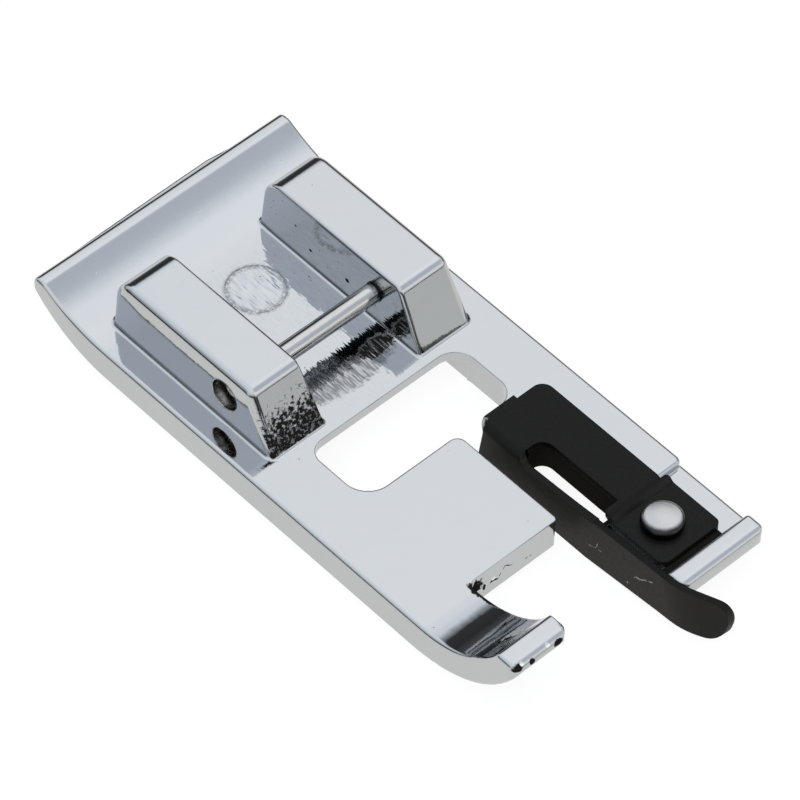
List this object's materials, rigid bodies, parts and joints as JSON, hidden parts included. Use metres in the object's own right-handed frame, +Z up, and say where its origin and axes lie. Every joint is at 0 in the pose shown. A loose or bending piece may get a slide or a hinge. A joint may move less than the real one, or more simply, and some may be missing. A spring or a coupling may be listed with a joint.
{
  "type": "sewing machine presser foot",
  "caption": "Clip-on presser foot with a curled sole, a long needle opening, one steep toe and a riveted folded edge guide with a flared finger.",
  "frame": {"origin": "on the flat underside of the sole, straight below the middle of the snap pin", "axes": "+X to the operator's right along the snap pin, +Y to the back of the machine, +Z up; the toes point to -Y"},
  "size_m": [0.0186, 0.0423, 0.0065],
  "materials": {
    "plated_casting": "bright plated zinc die casting",
    "pin_steel": "polished plated steel wire",
    "black_finish": "satin black finish on stamped sheet steel",
    "rivet_steel": "satin steel rivet"
  },
  "bodies": {
    "root": {"foot_body": "plated_casting", "snap_pin": "pin_steel", "edge_guide": "black_finish", "guide_rivet": "rivet_steel"}
  },
  "joints": []
}
